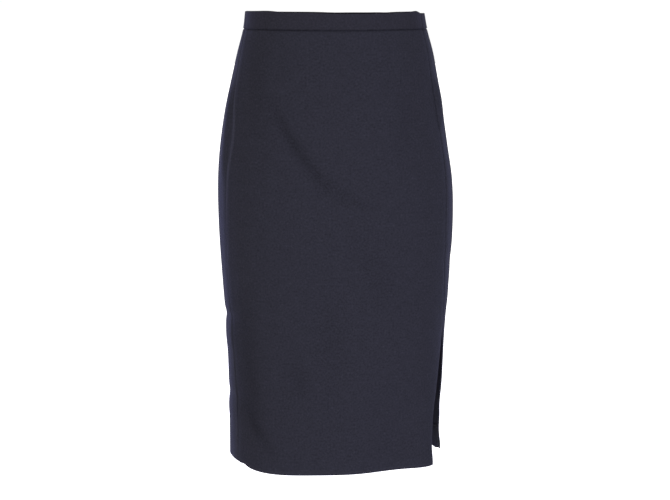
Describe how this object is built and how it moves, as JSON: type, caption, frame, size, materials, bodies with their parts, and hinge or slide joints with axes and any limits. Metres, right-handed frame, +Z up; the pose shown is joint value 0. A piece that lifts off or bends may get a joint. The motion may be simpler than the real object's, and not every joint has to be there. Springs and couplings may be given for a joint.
{
  "type": "pencil skirt",
  "caption": "Knee-length navy woven pencil skirt, worn and hollow, with a narrow waistband, a slit in the left side seam and a concealed zip at the back.",
  "frame": {"origin": "middle of the waist opening, level with the waistband's top edge at the centre front", "axes": "+Z up along the skirt, -Y out of the front, +X to the wearer's left, where the slit is"},
  "size_m": [0.3575, 0.2549, 0.6825],
  "materials": {
    "cloth": "matt navy fine-twill suiting",
    "band_cloth": "matt navy suiting, doubled and interfaced",
    "zip_tape": "woven polyester tape",
    "zip_coil": "satin nylon coil",
    "zip_metal": "navy enamelled zinc"
  },
  "bodies": {
    "skirt": {"front_panel": "cloth", "back_panel_left": "cloth", "back_panel_right": "cloth", "waistband_front": "band_cloth", "waistband_back_left": "band_cloth", "waistband_back_right": "band_cloth", "zip_tape_left": "zip_tape", "zip_tape_right": "zip_tape", "zip_chain": "zip_coil", "zip_slider": "zip_metal"},
    "zip_pull": {"zip_pull": "zip_metal"}
  },
  "joints": [
    {"name": "zip_pull_swing", "type": "hinge", "parent": "skirt", "child": "zip_pull", "pos_m": [0, 0.09738, -0.00719], "axis": [1, 0, 0], "range_deg": [0, 180]}
  ]
}
